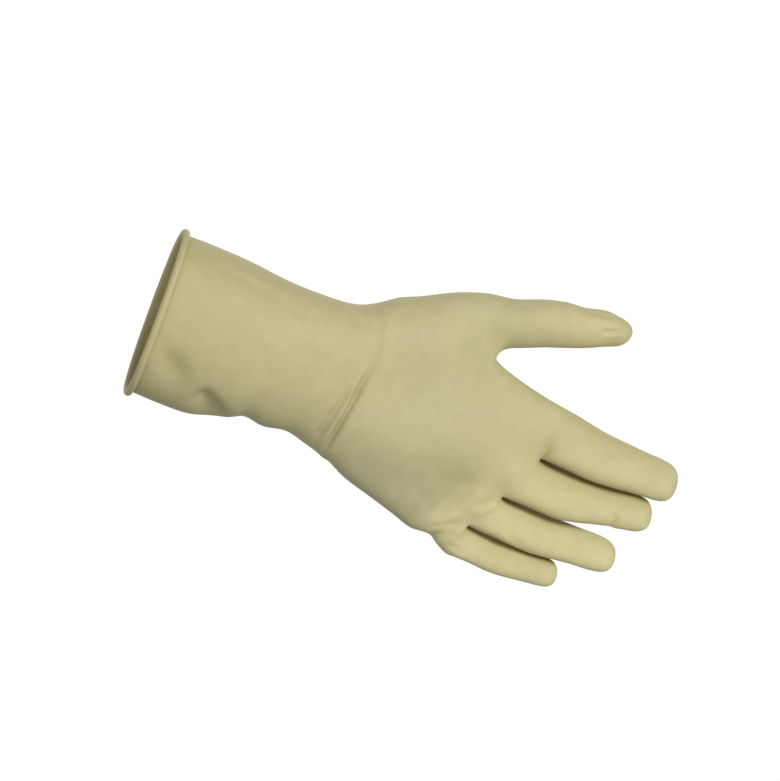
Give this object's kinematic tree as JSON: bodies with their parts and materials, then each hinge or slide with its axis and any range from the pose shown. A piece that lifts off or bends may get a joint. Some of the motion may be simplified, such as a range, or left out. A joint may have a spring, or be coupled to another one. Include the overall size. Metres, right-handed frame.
{
  "type": "lead lined glove",
  "caption": "Left-hand protective glove of lead-loaded latex, dipped in one piece, with a long gauntlet and a rolled bead at the mouth.",
  "frame": {"origin": "centre of the glove's mouth, in the plane of the rolled bead's outer side", "axes": "+X along the forearm from the mouth to the fingertips, +Z to the thumb's side, -Y the palm's side"},
  "size_m": [0.2794, 0.0706, 0.1456],
  "materials": {
    "latex": "matt"
  },
  "bodies": {
    "root": {"dipped_glove": "latex"}
  },
  "joints": []
}
